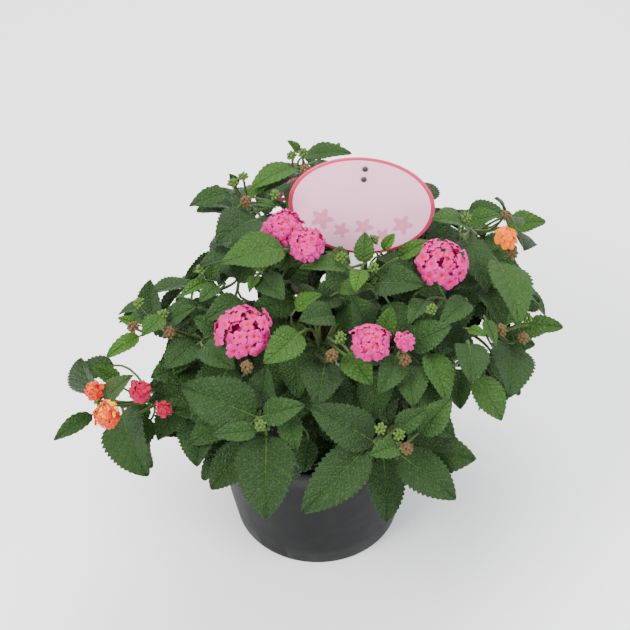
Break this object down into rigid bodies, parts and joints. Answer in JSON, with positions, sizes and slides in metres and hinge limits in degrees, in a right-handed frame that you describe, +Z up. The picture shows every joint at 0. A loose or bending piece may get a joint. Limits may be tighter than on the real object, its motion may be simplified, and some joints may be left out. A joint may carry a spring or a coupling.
{
  "type": "potted lantana",
  "caption": "Bushy lantana in a tapered anthracite plastic pot, with serrated leaves, pink, orange, coral and crimson flower heads and an oval label on a stake",
  "frame": {"origin": "centre of the underside of the pot, on the surface it stands on", "axes": "+Z up, the front of the plant and of its label look along -Y, +X to the viewer's right"},
  "size_m": [0.3445, 0.3557, 0.3179],
  "materials": {
    "pot": "anthracite injection-moulded plastic, satin",
    "soil": "dark crumbly potting soil",
    "leaf": "wrinkled green leaves and hairy green stems",
    "pink": "soft pink petals with a coral-red eye",
    "coral": "soft coral petals",
    "crimson": "soft crimson petals",
    "orange": "soft orange petals",
    "label": "pale pink printed plastic with a crimson rim",
    "rivet": "small dark plastic rivets"
  },
  "bodies": {
    "root": {"head_coral_oval": "coral", "head_coral_yellow": "coral", "head_crimson": "crimson", "head_magenta": "crimson", "head_orange": "orange", "head_pink_back_left": "pink", "head_pink_back_right": "pink", "head_pink_centre": "pink", "head_pink_left": "pink", "head_pink_pair_left": "pink", "head_pink_pair_right": "pink", "head_pink_right": "pink", "head_pink_small": "pink", "label": "label", "pot": "pot", "rivet_1": "rivet", "rivet_2": "rivet", "shoot_back_east": "leaf", "shoot_back_middle": "leaf", "shoot_back_northeast": "leaf", "shoot_back_northwest": "leaf", "shoot_back_top": "leaf", "shoot_back_west": "leaf", "shoot_centre": "leaf", "shoot_centre_right": "leaf", "shoot_crest": "leaf", "shoot_east": "leaf", "shoot_east_low": "leaf", "shoot_east_upper": "leaf", "shoot_far_west": "leaf", "shoot_front_left": "leaf", "shoot_front_right": "leaf", "shoot_label_front": "leaf", "shoot_left_centre": "leaf", "shoot_northeast": "leaf", "shoot_northwest": "leaf", "shoot_pink_pair": "leaf", "shoot_pink_right": "leaf", "shoot_west": "leaf", "shoot_west_middle": "leaf", "soil": "soil"}
  },
  "joints": []
}
